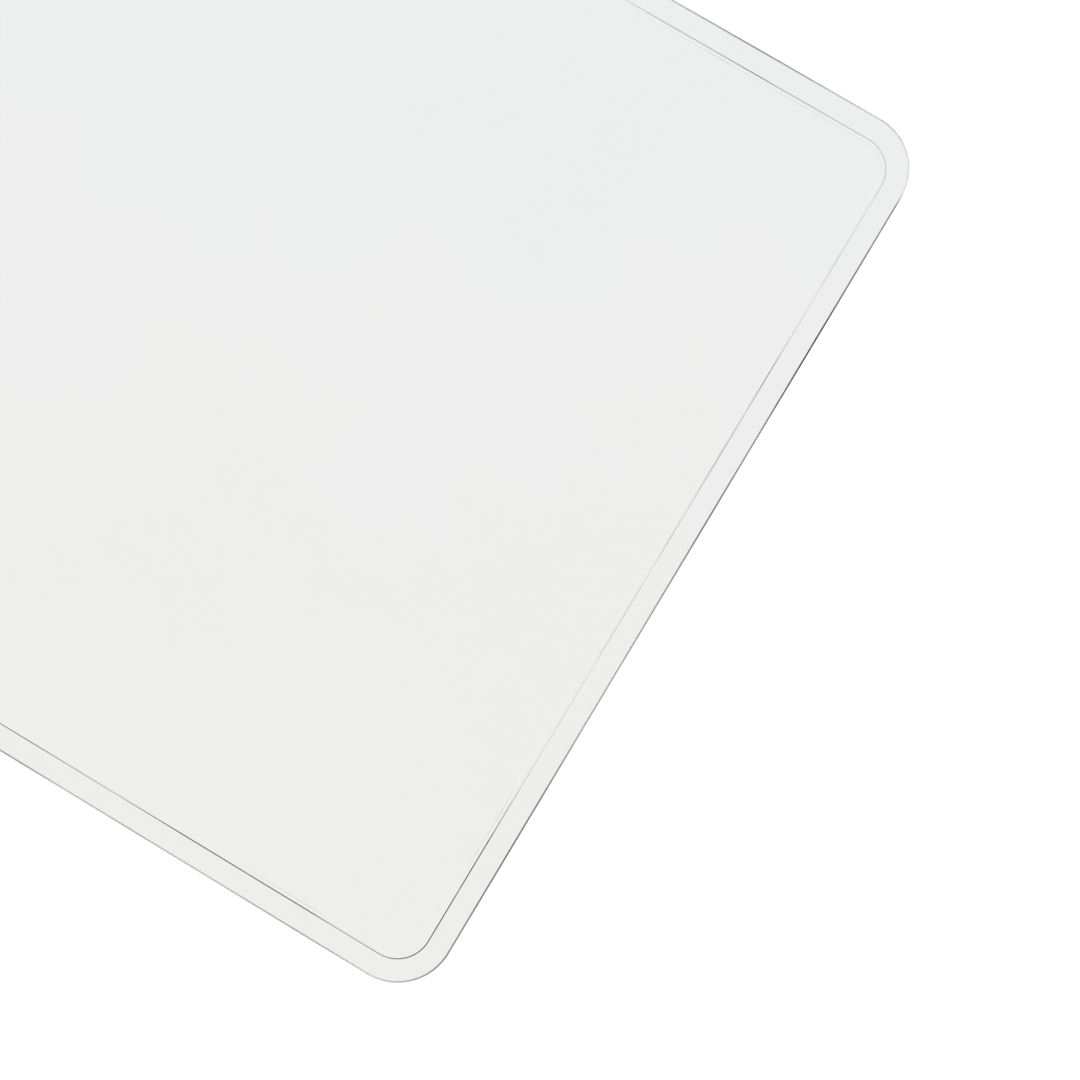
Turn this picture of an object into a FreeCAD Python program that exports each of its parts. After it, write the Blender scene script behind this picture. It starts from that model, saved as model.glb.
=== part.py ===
"""Rectangular chair mat for a hard floor: three clear plies pressed into one thin sheet.

The row frame has its origin on the floor under the middle of the mat, +X along the length,
+Y along the width and +Z up. Lengths are in millimetres.

From the floor up the plies are the grip backing, the base sheet and the wear layer.
The base sheet has the full outline, and its border slopes down to a thin outer edge so that
casters roll on and off. The wear layer covers the field inside that border. Its own border
is a narrow strip that the sealing bar presses down, so it lies a little lower than its field.
"""

import FreeCAD, Part
import math
import os

import Sketcher

DRIVING_DIMENSIONS = [
    # alias, millimetres, meaning
    ("mat_length", 1219.2, "outside length of the mat, along X"),
    ("mat_width", 914.4, "outside width of the mat, along Y"),
    ("corner_radius", 54.0, "plan radius of the mat's outer corners"),
    ("base_thickness", 2.0, "base sheet, inside its sloping border"),
    ("border_width", 21.0, "sloping border, from the outer edge to the wear layer"),
    ("border_drop", 0.6, "fall of the border's top from the wear layer to the outer edge"),
    ("outer_arris", 0.8, "rounding of the base sheet's upper outer edge"),
    ("lower_arris", 0.3, "rounding of the base sheet's lower outer edge"),
    ("wear_thickness", 0.6, "wear layer over its field"),
    ("seal_width", 4.0, "pressed strip around the wear layer"),
    ("seal_depth", 0.15, "how far the pressed strip lies below the wear layer's field"),
    ("ramp_width", 0.5, "plan width of the ramp from the pressed strip up to the field"),
    ("ramp_rise", 0.13, "height of that ramp, a little less than the depth of the strip"),
    ("wear_roll_width", 0.9, "plan width of the wear layer's rolled-down outer edge"),
    ("wear_roll_drop", 0.37, "fall of that rolled-down edge, which leaves a low upright foot"),
    ("grip_thickness", 0.3, "grip backing"),
    ("grip_inset", 1.5, "distance of the grip backing's edge from the mat's outer edge"),
]
SAME_HEIGHT = 1e-6


def make_sheet(doc):
    """Writes the driving dimensions to a spreadsheet, one alias to a row."""
    sheet = doc.addObject("Spreadsheet::Sheet", "Sizes")
    for row, (alias, value, meaning) in enumerate(DRIVING_DIMENSIONS, start=1):
        sheet.set(f"A{row}", alias)
        sheet.set(f"B{row}", str(value))
        sheet.set(f"C{row}", meaning)
        sheet.setAlias(f"B{row}", alias)
    doc.recompute()
    return sheet


def origin_plane(body, role):
    """One of a body's own origin planes."""
    return next(f for f in body.Origin.OriginFeatures if f.Role == role)


def outline_sketch(body, name, inset, height):
    """A rounded rectangle centred on Z, inset from the mat's outer edge, at a height.

    inset and height are expressions in the sheet's aliases.
    """
    sketch = body.newObject("Sketcher::SketchObject", name)
    sketch.AttachmentSupport = [(origin_plane(body, "XY_Plane"), "")]
    sketch.MapMode = "FlatFace"
    sketch.setExpression("AttachmentOffset.Base.z", height)

    half_x = body.Document.Sizes.mat_length / 2
    half_y = body.Document.Sizes.mat_width / 2
    radius = body.Document.Sizes.corner_radius
    flat_x, flat_y = half_x - radius, half_y - radius
    sides = [
        ((-flat_x, -half_y), (flat_x, -half_y)),
        ((half_x, -flat_y), (half_x, flat_y)),
        ((flat_x, half_y), (-flat_x, half_y)),
        ((-half_x, flat_y), (-half_x, -flat_y)),
    ]
    centres = [(flat_x, -flat_y), (flat_x, flat_y), (-flat_x, flat_y), (-flat_x, -flat_y)]
    up = FreeCAD.Vector(0, 0, 1)
    for quarter, (side, centre) in enumerate(zip(sides, centres)):
        ends = [FreeCAD.Vector(x, y, 0) for x, y in side]
        sketch.addGeometry(Part.LineSegment(*ends), False)
        circle = Part.Circle(FreeCAD.Vector(*centre, 0), up, radius)
        start = math.radians(90 * quarter - 90)
        sketch.addGeometry(Part.ArcOfCircle(circle, start, start + math.pi / 2), False)

    lines, arcs = (0, 2, 4, 6), (1, 3, 5, 7)
    start_point, end_point, centre_point = 1, 2, 3
    for piece in range(8):
        following = (piece + 1) % 8
        sketch.addConstraint(
            Sketcher.Constraint("Tangent", piece, end_point, following, start_point)
        )
    for line, direction in zip(lines, ("Horizontal", "Vertical") * 2):
        sketch.addConstraint(Sketcher.Constraint(direction, line))
    for arc in arcs[1:]:
        sketch.addConstraint(Sketcher.Constraint("Equal", arcs[0], arc))
    sketch.addConstraint(
        Sketcher.Constraint("Symmetric", arcs[0], centre_point, arcs[2], centre_point, -1, 1)
    )
    driven = [
        ("length", f"Sizes.mat_length - 2 * ({inset})",
         Sketcher.Constraint("DistanceX", lines[3], start_point, lines[1], start_point, 2 * half_x)),
        ("width", f"Sizes.mat_width - 2 * ({inset})",
         Sketcher.Constraint("DistanceY", lines[0], start_point, lines[2], start_point, 2 * half_y)),
        ("radius", f"Sizes.corner_radius - ({inset})",
         Sketcher.Constraint("Radius", arcs[0], radius)),
    ]
    for constraint_name, expression, constraint in driven:
        index = sketch.addConstraint(constraint)
        sketch.renameConstraint(index, constraint_name)
        sketch.setExpression(f"Constraints.{constraint_name}", expression)
    return sketch


def pad(body, name, sketch, length):
    """Pads a sketch upwards by an expression."""
    feature = body.newObject("PartDesign::Pad", name)
    feature.Profile = sketch
    feature.setExpression("Length", length)
    body.Document.recompute()
    return feature


def rim_edges(feature, height):
    """Names of the edges that lie wholly at one height."""
    return [
        f"Edge{number}"
        for number, edge in enumerate(feature.Shape.Edges, start=1)
        if all(abs(vertex.Z - height) < SAME_HEIGHT for vertex in edge.Vertexes)
    ]


def fillet(body, name, base, height, radius):
    """Rounds the edges of base that lie at one height."""
    feature = body.newObject("PartDesign::Fillet", name)
    feature.Base = (base, rim_edges(base, height))
    feature.setExpression("Radius", radius)
    body.Document.recompute()
    return feature


def bevel(body, name, base, height, drop, width):
    """Bevels the edges of base that lie at one height: drop down the wall, width across the top."""
    feature = body.newObject("PartDesign::Chamfer", name)
    feature.Base = (base, rim_edges(base, height))
    feature.ChamferType = "Two distances"
    feature.setExpression("Size", drop)
    feature.setExpression("Size2", width)
    body.Document.recompute()
    return feature


def make_body(doc, label):
    body = doc.addObject("PartDesign::Body", label)
    body.Label = label
    return body


def make_grip_backing(doc):
    """Thin soft ply that lies on the floor, a little inside the outer edge."""
    body = make_body(doc, "grip_backing")
    outline = outline_sketch(body, "GripOutline", "Sizes.grip_inset", "0")
    pad(body, "GripPly", outline, "Sizes.grip_thickness")
    return body


def make_base_sheet(doc):
    """Full-size ply that carries the load, with a border that slopes down to the outer edge."""
    sizes = doc.Sizes
    body = make_body(doc, "base_sheet")
    outline = outline_sketch(body, "BaseOutline", "0", "Sizes.grip_thickness")
    ply = pad(body, "BasePly", outline, "Sizes.base_thickness")
    top = sizes.grip_thickness + sizes.base_thickness
    border = bevel(body, "SlopingBorder", ply, top, "Sizes.border_drop", "Sizes.border_width")
    lip = fillet(body, "OuterArris", border, top - sizes.border_drop, "Sizes.outer_arris")
    fillet(body, "LowerArris", lip, sizes.grip_thickness, "Sizes.lower_arris")
    return body


def make_wear_layer(doc):
    """Top ply over the field inside the border, with a pressed strip along its own edge."""
    sizes = doc.Sizes
    floor = "Sizes.grip_thickness + Sizes.base_thickness"
    strip = "Sizes.wear_thickness - Sizes.seal_depth"
    body = make_body(doc, "wear_layer")
    outline = outline_sketch(body, "WearOutline", "Sizes.border_width", floor)
    ply = pad(body, "WearPly", outline, strip)
    strip_top = sizes.grip_thickness + sizes.base_thickness + sizes.wear_thickness - sizes.seal_depth
    bevel(body, "WearRoll", ply, strip_top, "Sizes.wear_roll_drop", "Sizes.wear_roll_width")
    field_outline = outline_sketch(
        body, "FieldOutline", "Sizes.border_width + Sizes.seal_width", f"{floor} + {strip}"
    )
    field = pad(body, "RaisedField", field_outline, "Sizes.seal_depth")
    field_top = strip_top + sizes.seal_depth
    bevel(body, "SealRamp", field, field_top, "Sizes.ramp_rise", "Sizes.ramp_width")
    return body


def check(doc, bodies):
    """Stops if any feature failed or any sub-part is not one valid solid."""
    failed = [o.Name for o in doc.Objects if {"Invalid", "Error"} & set(o.State)]
    if failed:
        raise SystemExit(f"these features failed: {failed}")
    for body in bodies:
        shape = body.Shape
        if shape.isNull() or not shape.isValid() or len(shape.Solids) != 1:
            raise SystemExit(f"{body.Label} is not one valid solid")


def main():
    doc = FreeCAD.newDocument("ChairMat")
    make_sheet(doc)
    bodies = [make_grip_backing(doc), make_base_sheet(doc), make_wear_layer(doc)]
    doc.recompute()
    check(doc, bodies)
    os.makedirs("parts", exist_ok=True)
    for body in bodies:
        box = body.Shape.optimalBoundingBox(False)
        print(f"{body.Label}: {box.XLength:.2f} x {box.YLength:.2f} x {box.ZLength:.2f} mm, "
              f"z {box.ZMin:.2f} to {box.ZMax:.2f}, volume {body.Shape.Volume / 1000:.1f} cm3")
        body.Shape.exportStep(os.path.join("parts", f"{body.Label}.step"))


main()
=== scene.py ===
"""Looks of the clear chair mat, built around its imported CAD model.

Metres, in the CAD frame: +X along the length, +Y along the width, +Z up, and the floor at 0.
Each ply is one closed mesh, swept from its section round the mat's outline. The plies are pressed
into one sheet, so light crosses the faces that touch inside the stack without bending.
"""

import math

import bpy
from mathutils import Matrix, Vector


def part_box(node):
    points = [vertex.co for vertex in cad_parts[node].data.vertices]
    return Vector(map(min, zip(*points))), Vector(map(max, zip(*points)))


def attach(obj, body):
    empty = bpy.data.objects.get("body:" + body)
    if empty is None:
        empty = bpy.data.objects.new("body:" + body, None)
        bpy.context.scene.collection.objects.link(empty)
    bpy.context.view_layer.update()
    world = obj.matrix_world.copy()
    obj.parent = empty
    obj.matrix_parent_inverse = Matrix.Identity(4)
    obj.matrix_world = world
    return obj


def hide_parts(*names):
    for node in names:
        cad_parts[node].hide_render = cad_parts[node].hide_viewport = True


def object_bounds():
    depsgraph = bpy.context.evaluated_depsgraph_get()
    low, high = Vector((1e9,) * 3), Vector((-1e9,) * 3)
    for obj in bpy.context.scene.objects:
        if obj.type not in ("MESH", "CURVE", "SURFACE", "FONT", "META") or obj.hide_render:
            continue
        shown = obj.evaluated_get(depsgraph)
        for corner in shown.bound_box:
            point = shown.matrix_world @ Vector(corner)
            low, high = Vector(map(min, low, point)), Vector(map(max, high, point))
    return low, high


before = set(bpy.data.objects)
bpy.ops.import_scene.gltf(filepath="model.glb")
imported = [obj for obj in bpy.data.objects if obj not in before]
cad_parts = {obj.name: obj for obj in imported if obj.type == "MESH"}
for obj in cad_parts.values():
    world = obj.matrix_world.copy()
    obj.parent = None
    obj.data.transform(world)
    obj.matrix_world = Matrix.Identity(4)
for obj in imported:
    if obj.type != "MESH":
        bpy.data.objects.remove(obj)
cad_low, cad_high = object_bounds()
MM = 0.001
SAME_HEIGHT = 1e-6

# ---------------------------------------------------------------- sizes, from the frame

HALF_LENGTH = cad_high.x
HALF_WIDTH = cad_high.y
GRIP_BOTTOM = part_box("grip_backing")[0].z
BASE_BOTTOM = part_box("base_sheet")[0].z
WEAR_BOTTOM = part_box("wear_layer")[0].z
WEAR_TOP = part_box("wear_layer")[1].z
BORDER_WIDTH = HALF_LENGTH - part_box("wear_layer")[1].x
GRIP_INSET = HALF_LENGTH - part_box("grip_backing")[1].x

# ---------------------------------------------------------------- sizes that the frame's boxes don't tell

CORNER_RADIUS = 54.0 * MM
BORDER_DROP = 0.6 * MM        # how far the border slopes down from the wear layer's edge to the outer edge
OUTER_ARRIS = 0.8 * MM
LOWER_ARRIS = 0.3 * MM
FLANK_WIDTH = 0.9 * MM        # the wear layer's rolled-over edge, seen from above
FLANK_FOOT = 0.08 * MM        # the upright left under that roll
SEAL_WIDTH = 4.0 * MM         # the strip along the wear layer's edge that the sealing bar pressed down
SEAL_DEPTH = 0.15 * MM
RAMP_WIDTH = 0.5 * MM         # the step back up from the pressed strip
RIPPLE_DEPTH = 0.2 * MM       # how far the rolling surface dips between its flattest spots
RIPPLE_FADE = 60 * MM         # the width over which those dips fade in from the field's edge
RIPPLE_WAVES = (              # each wave's turn along X and along Y, in radians a metre, and its phase
    (13.1, 4.7, 0.6),
    (-6.3, 17.9, 2.1),
    (24.7, 9.4, 4.4),
    (7.9, -29.3, 1.3),
)
WIDER_BORDER = 1.5 * MM       # what the trimming added to the border along the high side (+Y)

CELL = 20 * MM                # spacing of the mesh along the straight sides and over the field
CORNER_STEPS = 48             # faces round each corner of the outline
ROUND_STEPS = 8               # faces over each round stretch of a section
BORDER_STEPS = 6              # faces across the sloping border
INNER_RING = CORNER_RADIUS - 1 * MM       # the last ring before the grid, close round the arcs' centres
FIELD_RINGS = (27, 30, 35, 41, 47, 53)    # millimetres in from the outer edge, closest near the ramp
SHARP_ANGLE = math.radians(35)


# ---------------------------------------------------------------- meshes

def arc(centre_inset, centre_z, radius, start_deg, end_deg):
    """Points of a round stretch of a section, after its first one. 180 degrees points outwards."""
    points = []
    for step in range(1, ROUND_STEPS + 1):
        angle = math.radians(start_deg + (end_deg - start_deg) * step / ROUND_STEPS)
        points.append((centre_inset + radius * math.cos(angle), centre_z + radius * math.sin(angle)))
    return points


def ease(inset_from, z_from, inset_to, z_to):
    """Points of a soft step from one level to another, after its first one."""
    points = []
    for step in range(1, ROUND_STEPS + 1):
        share = step / ROUND_STEPS
        rise = (1 - math.cos(math.pi * share)) / 2
        points.append((inset_from + (inset_to - inset_from) * share, z_from + (z_to - z_from) * rise))
    return points


def between(start, end, parts):
    """The points that divide a straight run, without its ends."""
    return [
        (start[0] + (end[0] - start[0]) * part / parts, start[1] + (end[1] - start[1]) * part / parts)
        for part in range(1, parts)
    ]


CENTRE_X = HALF_LENGTH - CORNER_RADIUS
CENTRE_Y = HALF_WIDTH - CORNER_RADIUS
CELLS_X = round(2 * CENTRE_X / CELL)
CELLS_Y = round(2 * CENTRE_Y / CELL)
CORNERS = ((CENTRE_X, CENTRE_Y), (-CENTRE_X, CENTRE_Y), (-CENTRE_X, -CENTRE_Y), (CENTRE_X, -CENTRE_Y))


def trimmed(y, inset):
    """Where a point at y comes to lie: along the high side, what is inside the border is set in further."""
    share = min(inset / BORDER_WIDTH, 1) * min(max(2 * y / HALF_WIDTH, 0), 1)
    return y - WIDER_BORDER * share


def outline(inset):
    """The mat's outline, drawn in by inset: four round corners with divided straight sides between."""
    corners = []
    for quarter, (x, y) in enumerate(CORNERS):
        radius = CORNER_RADIUS - inset
        angles = [math.radians(90 * (quarter + step / CORNER_STEPS)) for step in range(CORNER_STEPS + 1)]
        corners.append([(x + radius * math.cos(a), y + radius * math.sin(a)) for a in angles])
    points = []
    for quarter, corner in enumerate(corners):
        following = corners[(quarter + 1) % 4][0]
        points += corner
        points += between(corner[-1], following, CELLS_X if quarter % 2 == 0 else CELLS_Y)
    return [(x, trimmed(y, inset)) for x, y in points]


def field_grid_index(column, row):
    """The place of a point of the field's grid in its list of points."""
    return row * (CELLS_X + 1) + column


def rim_of_grid():
    """For each point of the outline, the point of the field's grid that it runs to."""
    rim = []
    last_x, last_y = CELLS_X, CELLS_Y
    rim += [field_grid_index(last_x, last_y)] * (CORNER_STEPS + 1)
    rim += [field_grid_index(column, last_y) for column in range(last_x - 1, 0, -1)]
    rim += [field_grid_index(0, last_y)] * (CORNER_STEPS + 1)
    rim += [field_grid_index(0, row) for row in range(last_y - 1, 0, -1)]
    rim += [field_grid_index(0, 0)] * (CORNER_STEPS + 1)
    rim += [field_grid_index(column, 0) for column in range(1, last_x)]
    rim += [field_grid_index(last_x, 0)] * (CORNER_STEPS + 1)
    rim += [field_grid_index(last_x, row) for row in range(1, last_y)]
    return rim


def ply_mesh(name, start_z, stretches, surfaces, ripple=None):
    """A closed ply. Its section starts on the underside, where the corner arcs have their centres, goes
    out round the edge and back along the top. Each stretch is a surface's name and the points it goes to."""
    vertices, faces, marks = [], [], []

    def add_grid(z):
        first = len(vertices)
        for row in range(CELLS_Y + 1):
            for column in range(CELLS_X + 1):
                x = -CENTRE_X + 2 * CENTRE_X * column / CELLS_X
                y = -CENTRE_Y + 2 * CENTRE_Y * row / CELLS_Y
                vertices.append((x, trimmed(y, CORNER_RADIUS), z))
        return first

    def add_face(corners, surface):
        corners = [c for i, c in enumerate(corners) if c != corners[i - 1]]
        if len(corners) > 2:
            faces.append(corners)
            marks.append(surfaces.index(surface))

    def fill_grid(first, surface, upwards):
        for row in range(CELLS_Y):
            for column in range(CELLS_X):
                a = first + field_grid_index(column, row)
                b = first + field_grid_index(column + 1, row)
                c = first + field_grid_index(column + 1, row + 1)
                d = first + field_grid_index(column, row + 1)
                add_face([a, b, c, d] if upwards else [d, c, b, a], surface)

    def add_band(lower, upper, surface):
        count = len(lower)
        for i in range(count):
            j = (i + 1) % count
            add_face([lower[i], lower[j], upper[j], upper[i]], surface)

    rim = rim_of_grid()
    under = add_grid(start_z)
    fill_grid(under, stretches[0][0], upwards=False)
    previous = [under + index for index in rim]
    for surface, points in stretches:
        for inset, z in points:
            ring = outline(inset)
            first = len(vertices)
            vertices += [(x, y, z) for x, y in ring]
            current = list(range(first, first + len(ring)))
            add_band(previous, current, surface)
            previous = current
    surface, points = stretches[-1]
    over = add_grid(points[-1][1])
    fill_grid(over, surface, upwards=True)
    add_band(previous, [over + index for index in rim], surface)

    if ripple is not None:
        vertices = [ripple(*vertex) for vertex in vertices]
    mesh = bpy.data.meshes.new(name)
    mesh.from_pydata(vertices, [], faces)
    mesh.polygons.foreach_set("material_index", marks)
    mesh.polygons.foreach_set("use_smooth", [True] * len(faces))
    mesh.set_sharp_from_angle(angle=SHARP_ANGLE)
    mesh.validate()
    return mesh


def ply(name, start_z, stretches, materials, ripple=None):
    """The shown piece that stands for one CAD ply."""
    surfaces = list(materials)
    mesh = ply_mesh(name + "_look", start_z, stretches, surfaces, ripple)
    for surface in surfaces:
        mesh.materials.append(materials[surface])
    piece = bpy.data.objects.new(name + "_look", mesh)
    bpy.context.scene.collection.objects.link(piece)
    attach(piece, "root")
    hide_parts(name)
    return piece


def ripple_of_field(x, y, z):
    """Lets the rolling surface dip a little between its flattest spots, fading out towards its border."""
    inset = min(HALF_LENGTH - abs(x), HALF_WIDTH - abs(y))
    start = BORDER_WIDTH + SEAL_WIDTH + RAMP_WIDTH
    fade = min(max((inset - start) / RIPPLE_FADE, 0), 1)
    if z < WEAR_TOP - SAME_HEIGHT or fade == 0:
        return (x, y, z)
    waves = sum(math.sin(turn_x * x + turn_y * y + phase) for turn_x, turn_y, phase in RIPPLE_WAVES)
    dip = 0.5 + waves / (2 * len(RIPPLE_WAVES))
    return (x, y, z - RIPPLE_DEPTH * fade * dip)


# ---------------------------------------------------------------- materials

PVC_IOR = 1.53
WARM_CLEAR = (0.831, 0.827, 0.811)
COOL_CLEAR = (0.814, 0.831, 0.830)
COOL_WAY = (-0.515, 0.857, 0)     # the tint turns cooler this way
DRIFT_SPAN = (-0.8, 0.5)          # metres that way from the middle at which it is all warm and all cool
CLOUD_SCALE = 3.5                 # clouds of tint per metre
CLOUD = 1.1                       # how far, in metres, they can shift the drift
PITTING = 0.015                   # how much the grain's pits darken or lighten the tint
RUB_SCALE = 9                     # rubbed patches per metre
RUBBING = 0.05                    # how much rougher or smoother they are
TURN_ZONE = 120 * MM              # how far before and after a corner's arc the edges' painted light and shade change
NOISE_SPREAD = (0.3, 0.7)         # nearly all of a noise's values lie between these


def new_material(name):
    """A material with one Principled shader, and a maker of nodes that links what it is given."""
    made = bpy.data.materials.new(name)
    made.use_nodes = True
    tree = made.node_tree
    shader = next(node for node in tree.nodes if node.type == "BSDF_PRINCIPLED")

    def node(kind, values=None, **settings):
        new = tree.nodes.new(kind)
        for key, value in settings.items():
            setattr(new, key, value)
        for socket, value in (values or {}).items():
            if isinstance(value, bpy.types.NodeSocket):
                tree.links.new(value, new.inputs[socket])
            else:
                new.inputs[socket].default_value = value
        return new

    return made, shader, node, tree.links


def noise(node, scale, seed, detail=2.0, roughness=0.5):
    """Smooth noise in the mat's own coordinates. Scale is in features per metre."""
    place = node("ShaderNodeTexCoord").outputs["Object"]
    values = {"Vector": place, "W": seed, "Scale": scale, "Detail": detail, "Roughness": roughness}
    return node("ShaderNodeTexNoise", values, noise_dimensions="4D").outputs["Fac"]


def ranged(node, value, low, high, new_low=0.0, new_high=1.0):
    """A value carried from one range to another."""
    values = {"Value": value, "From Min": low, "From Max": high, "To Min": new_low, "To Max": new_high}
    return node("ShaderNodeMapRange", values).outputs["Result"]


def mixed(node, share, first, second, **settings):
    """A colour between two others, or the two put together as blend_type says."""
    values = {0: share, 6: first, 7: second}
    return node("ShaderNodeMix", values, data_type="RGBA", **settings).outputs[2]


def film_material(name, roughness, grain_scale, grain_depth, seed):
    """Clear PVC with a pressed grain. The tint drifts in clouds from warm to cool across the sheet."""
    made, shader, node, links = new_material(name)
    place = node("ShaderNodeTexCoord").outputs["Object"]
    across = node("ShaderNodeVectorMath", {0: place, 1: COOL_WAY}, operation="DOT_PRODUCT").outputs["Value"]
    cloud = ranged(node, noise(node, CLOUD_SCALE, seed, detail=5, roughness=0.6), 0, 1, -CLOUD, CLOUD)
    across = node("ShaderNodeMath", {0: across, 1: cloud}, operation="ADD").outputs[0]
    tint = mixed(node, ranged(node, across, *DRIFT_SPAN), (*WARM_CLEAR, 1), (*COOL_CLEAR, 1))
    grain = noise(node, grain_scale, seed + 2, detail=2)
    pitted = ranged(node, grain, *NOISE_SPREAD, 1 - PITTING, 1 + PITTING)
    tint = mixed(node, 1.0, tint, pitted, blend_type="MULTIPLY")
    links.new(tint, shader.inputs["Base Color"])
    worn = noise(node, RUB_SCALE, seed + 1, detail=1)
    rubbed = ranged(node, worn, 0, 1, roughness - RUBBING, roughness + RUBBING)
    links.new(rubbed, shader.inputs["Roughness"])
    bump = node("ShaderNodeBump", {"Height": grain, "Distance": grain_depth, "Strength": 1.0})
    links.new(bump.outputs["Normal"], shader.inputs["Normal"])
    shader.inputs["IOR"].default_value = PVC_IOR
    shader.inputs["Transmission Weight"].default_value = 1.0
    return made


# Sets where the edges' painted light and shade fall: lighter or darker by the way each edge faces.
def facing(node):
    """Which way the edge faces: 0 on the low side (-Y), 0.5 on an end and 1 on the high side (+Y).
    It turns gradually, from TURN_ZONE before a corner's arc to as far after it."""
    place = node("ShaderNodeSeparateXYZ", {"Vector": node("ShaderNodeTexCoord").outputs["Object"]})

    def past(value, centre):
        beyond = node("ShaderNodeMath", {0: value, 1: centre - TURN_ZONE}, operation="SUBTRACT").outputs[0]
        return node("ShaderNodeMath", {0: beyond, 1: 0.0}, operation="MAXIMUM").outputs[0]

    size = node("ShaderNodeMath", {0: place.outputs["X"]}, operation="ABSOLUTE").outputs[0]
    back = node("ShaderNodeMath", {0: 0.0, 1: place.outputs["Y"]}, operation="SUBTRACT").outputs[0]
    high, low = past(place.outputs["Y"], CENTRE_Y), past(back, CENTRE_Y)
    sideways = node("ShaderNodeMath", {0: high, 1: low}, operation="SUBTRACT").outputs[0]
    angle = node("ShaderNodeMath", {0: sideways, 1: past(size, CENTRE_X)}, operation="ARCTAN2").outputs[0]
    return ranged(node, angle, -math.pi / 2, math.pi / 2)


def edge_material_with_painted_shade(name, tones, waves, detail, seed, bounds, drift, roughness, transmission):
    """A cut or rolled edge, darker than the sheet: partly from its rough cut, which scatters light, and
    partly painted shade. The tones are stops of painted light and shade by the way the edge faces, from the
    low side round the end to the high side. Noise with that many waves per metre moves the tone along the
    edge, more painted light and shade: drift says how much, from the noise's lower bound to its upper one."""
    made, shader, node, links = new_material(name)
    stops = node("ShaderNodeValToRGB", {"Fac": facing(node)})
    ramp = stops.color_ramp
    while len(ramp.elements) < len(tones):
        ramp.elements.new(0.5)
    for element, (place, tone) in zip(ramp.elements, tones):
        element.position = place
        element.color = (tone, tone, tone, 1)
    # Noise moves the painted light and shade along the edge.
    moved = ranged(node, noise(node, waves, seed, detail), *bounds, *drift)
    colour = mixed(node, 1.0, stops.outputs["Color"], moved, blend_type="ADD", clamp_result=True)
    links.new(colour, shader.inputs["Base Color"])
    shader.inputs["Roughness"].default_value = roughness
    shader.inputs["IOR"].default_value = PVC_IOR
    shader.inputs["Transmission Weight"].default_value = transmission
    return made


def bonded_material():
    """Faces pressed together inside the stack. They are one plastic, so nothing shows there."""
    made, shader, _, _ = new_material("bonded_face")
    shader.inputs["Base Color"].default_value = (0.9, 0.9, 0.9, 1)
    shader.inputs["Roughness"].default_value = 0.5
    shader.inputs["Alpha"].default_value = 0.0
    return made


# Painted light and shade on each edge, by the way it faces: the low side at 0, an end at 0.5, the high side
# at 1.
CUT_SHADE_TONES = (
    (0.0, 0.6), (0.2, 0.8), (0.28, 0.3), (0.68, 0.2), (0.7, 1.0), (0.75, 1.0), (0.8, 0.8), (1.0, 0.6),
)
FILM_SHADE_TONES = ((0.0, 0.0), (0.15, 0.2), (0.28, 0.2), (0.5, 0.7), (0.7, 0.6), (0.8, 0.9), (1.0, 0.7))
WELD_SHADE_TONES = ((0.0, 0.85), (0.65, 0.85), (0.75, 1.0), (0.87, 1.0), (0.9, 0.75), (1.0, 0.75))
wear_top = film_material("matt_wear_film", roughness=0.2, grain_scale=1100, grain_depth=0.06 * MM, seed=133)
border_top = film_material("clear_sheet", roughness=0.14, grain_scale=700, grain_depth=0.03 * MM, seed=4)
grip_under = film_material("grip_film", roughness=0.1, grain_scale=500, grain_depth=0.05 * MM, seed=285)
# The outer edge's dark line is painted shade, lighter or darker by the way it faces; only part of its
# darkness is its rough cut.
cut_edge_painted_shade = edge_material_with_painted_shade(
    "cut_edge_painted_shade", CUT_SHADE_TONES, waves=3, detail=3, seed=154, bounds=NOISE_SPREAD, drift=(0.52, -0.52),
    roughness=0.45, transmission=0.3,
)
# The wear film's rolled edge: its dark line is painted shade, lighter or darker by the way it faces and
# darker in stretches from noise.
film_edge_painted_shade = edge_material_with_painted_shade(
    "film_edge_painted_shade", FILM_SHADE_TONES, waves=6, detail=2, seed=33, bounds=NOISE_SPREAD, drift=(0.3, -0.7),
    roughness=0.4, transmission=0.3,
)
# The step up from the pressed strip: painted light and shade by the way it faces, and painted shade in
# stretches where the noise is high.
weld_step_painted_shade = edge_material_with_painted_shade(
    "weld_step_painted_shade", WELD_SHADE_TONES, waves=4.5, detail=2, seed=197, bounds=(0.53, 0.6), drift=(0.0, -0.6),
    roughness=0.2, transmission=1.0,
)
bonded = bonded_material()


# ---------------------------------------------------------------- the three plies

def make_grip_backing():
    """The thin film under the mat, set in from its edge all round."""
    top = BASE_BOTTOM
    stretches = [
        ("under", [(GRIP_INSET, GRIP_BOTTOM)]),
        ("edge", [(GRIP_INSET, top)]),
        ("bonded", [(INNER_RING, top)]),
    ]
    materials = {"under": grip_under, "edge": cut_edge_painted_shade, "bonded": bonded}
    return ply("grip_backing", GRIP_BOTTOM, stretches, materials)


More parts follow.
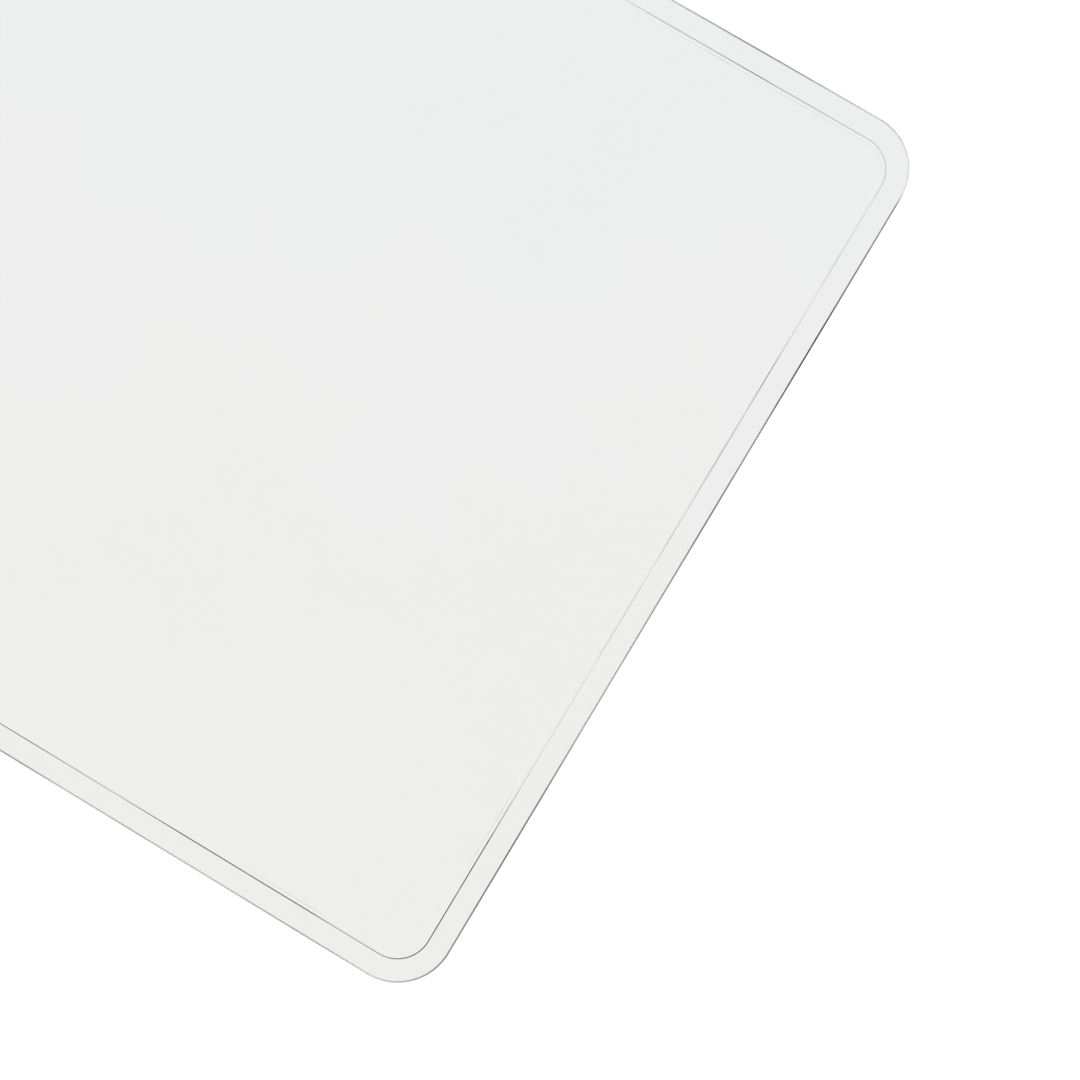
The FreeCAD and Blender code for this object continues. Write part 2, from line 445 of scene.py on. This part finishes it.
def make_base_sheet():
    """The clear sheet with the mat's full outline. Its border slopes down to a rounded edge."""
    slope = math.atan2(BORDER_DROP, BORDER_WIDTH)
    rim_z = WEAR_BOTTOM - BORDER_DROP
    arris_z = rim_z + OUTER_ARRIS * (math.tan(slope) - 1 / math.cos(slope))
    low_z = BASE_BOTTOM + LOWER_ARRIS
    top_end = (BORDER_WIDTH, WEAR_BOTTOM)
    round_top = arc(OUTER_ARRIS, arris_z, OUTER_ARRIS, 180, 90 + math.degrees(slope))
    stretches = [
        ("bonded", [(GRIP_INSET, BASE_BOTTOM)]),
        ("edge", [(LOWER_ARRIS, BASE_BOTTOM)]),
        ("edge", arc(LOWER_ARRIS, low_z, LOWER_ARRIS, 270, 180)),
        ("edge", [(0, arris_z)]),
        ("edge", round_top),
        ("border", between(round_top[-1], top_end, BORDER_STEPS) + [top_end]),
        ("bonded", [(INNER_RING, WEAR_BOTTOM)]),
    ]
    materials = {"border": border_top, "edge": cut_edge_painted_shade, "bonded": bonded}
    return ply("base_sheet", BASE_BOTTOM, stretches, materials)


def make_wear_layer():
    """The matt film over the field, rolled over at its edge, with the pressed strip along it."""
    seal_z = WEAR_TOP - SEAL_DEPTH
    flank_start = (BORDER_WIDTH, WEAR_BOTTOM + FLANK_FOOT)
    flank_height = seal_z - flank_start[1]
    flank = []
    for step in range(1, ROUND_STEPS + 1):
        angle = math.radians(90 * step / ROUND_STEPS)
        flank.append((
            BORDER_WIDTH + FLANK_WIDTH * (1 - math.cos(angle)),
            flank_start[1] + flank_height * math.sin(angle),
        ))
    ramp_inset = BORDER_WIDTH + SEAL_WIDTH
    ramp_end = ramp_inset + RAMP_WIDTH
    stretches = [
        ("bonded", [(BORDER_WIDTH, WEAR_BOTTOM)]),
        ("edge", [flank_start] + flank),
        ("top", [(ramp_inset, seal_z)]),
        ("weld", ease(ramp_inset, seal_z, ramp_end, WEAR_TOP)),
        ("top", [(inset * MM, WEAR_TOP) for inset in FIELD_RINGS]),
    ]
    materials = {"top": wear_top, "edge": film_edge_painted_shade, "weld": weld_step_painted_shade, "bonded": bonded}
    return ply("wear_layer", WEAR_BOTTOM, stretches, materials, ripple_of_field)


make_grip_backing()
make_base_sheet()
make_wear_layer()


# ---------------------------------------------------------------- floor, light and camera

FLOOR_GLOW = 1.04
FLOOR_GAP = 0.1 * MM          # keeps the floor's face apart from the underside's
FLOOR_LINES = (-40, -12, -3, -1, 1, 3, 12, 40)    # metres; the mat lies on the middle tile
SKY_LEVEL = 2.0
SKY_BANDS = (                 # how bright the studio is, from level with the floor at 0 to overhead at 1
    (0.0, 0.12), (0.25, 0.3), (0.45, 0.55), (0.6, 0.9), (0.78, 0.85), (0.92, 0.45), (1.0, 0.42),
)


def make_floor():
    """A plain white studio floor. It glows, as a light table does, so it stays even under the mat."""
    corners = [(x, y, -FLOOR_GAP) for y in FLOOR_LINES for x in FLOOR_LINES]
    row = len(FLOOR_LINES)
    tiles = [
        (i + j * row, i + 1 + j * row, i + 1 + (j + 1) * row, i + (j + 1) * row)
        for j in range(row - 1)
        for i in range(row - 1)
    ]
    mesh = bpy.data.meshes.new("floor")
    mesh.from_pydata(corners, [], tiles)
    made = bpy.data.materials.new("white_floor")
    made.use_nodes = True
    tree = made.node_tree
    tree.nodes.clear()
    glow = tree.nodes.new("ShaderNodeEmission")
    glow.inputs["Strength"].default_value = FLOOR_GLOW
    output = tree.nodes.new("ShaderNodeOutputMaterial")
    tree.links.new(glow.outputs["Emission"], output.inputs["Surface"])
    mesh.materials.append(made)
    floor = bpy.data.objects.new("floor", mesh)
    bpy.context.scene.collection.objects.link(floor)


def make_light():
    """A soft studio: a broad bright band all round, dimmer overhead and dimmest near the floor."""
    world = bpy.data.worlds.new("soft_studio")
    bpy.context.scene.world = world
    world.use_nodes = True
    tree = world.node_tree
    background = next(node for node in tree.nodes if node.type == "BACKGROUND")
    direction = tree.nodes.new("ShaderNodeTexCoord")
    parts = tree.nodes.new("ShaderNodeSeparateXYZ")
    ramp = tree.nodes.new("ShaderNodeValToRGB")
    path = tree.nodes.new("ShaderNodeLightPath")
    seen = tree.nodes.new("ShaderNodeMix")
    seen.data_type = "RGBA"
    ramp.color_ramp.interpolation = "B_SPLINE"
    while len(ramp.color_ramp.elements) < len(SKY_BANDS):
        ramp.color_ramp.elements.new(0.5)
    for element, (height, level) in zip(ramp.color_ramp.elements, SKY_BANDS):
        element.position = height
        element.color = (level, level, level, 1)
    tree.links.new(direction.outputs["Generated"], parts.inputs[0])
    tree.links.new(parts.outputs["Z"], ramp.inputs["Fac"])
    tree.links.new(path.outputs["Is Camera Ray"], seen.inputs[0])
    tree.links.new(ramp.outputs["Color"], seen.inputs[6])
    seen.inputs[7].default_value = (1, 1, 1, 1)
    tree.links.new(seen.outputs[2], background.inputs["Color"])
    background.inputs["Strength"].default_value = SKY_LEVEL


def make_camera():
    """Nearly straight down on the mat's +X end, turned so that its length runs down to the right."""
    aim = Vector((HALF_LENGTH - 122.4 * MM, -40.1 * MM, WEAR_TOP))
    distance = 3.1905
    tilt = math.radians(7.39)
    bearing = math.radians(-45.3)
    turn = math.radians(30.64)
    back = Vector((math.sin(tilt) * math.cos(bearing), math.sin(tilt) * math.sin(bearing), math.cos(tilt)))
    along = (Vector((1, 0, 0)) - back * back.x).normalized()
    across = back.cross(along)
    right = along * math.cos(turn) + across * math.sin(turn)
    up = back.cross(right)
    data = bpy.data.cameras.new("camera")
    data.sensor_width = 36
    data.lens = 116.67
    data.clip_start = 0.05
    data.clip_end = 100
    camera = bpy.data.objects.new("camera", data)
    bpy.context.scene.collection.objects.link(camera)
    camera.matrix_world = Matrix.LocRotScale(
        aim + back * distance, Matrix((right, up, back)).transposed().to_quaternion(), None
    )
    bpy.context.scene.camera = camera


def set_render():
    """Colours shown as they are, and enough bounces for light to cross the whole stack."""
    scene = bpy.context.scene
    scene.view_settings.view_transform = "Standard"
    scene.view_settings.look = "None"
    scene.cycles.use_denoising = True
    scene.cycles.blur_glossy = 0
    scene.cycles.min_light_bounces = 16
    scene.cycles.min_transparent_bounces = 32
    scene.cycles.max_bounces = 24
    scene.cycles.diffuse_bounces = 6
    scene.cycles.glossy_bounces = 24
    scene.cycles.transmission_bounces = 24
    scene.cycles.transparent_max_bounces = 32


make_floor()
make_light()
make_camera()
set_render()
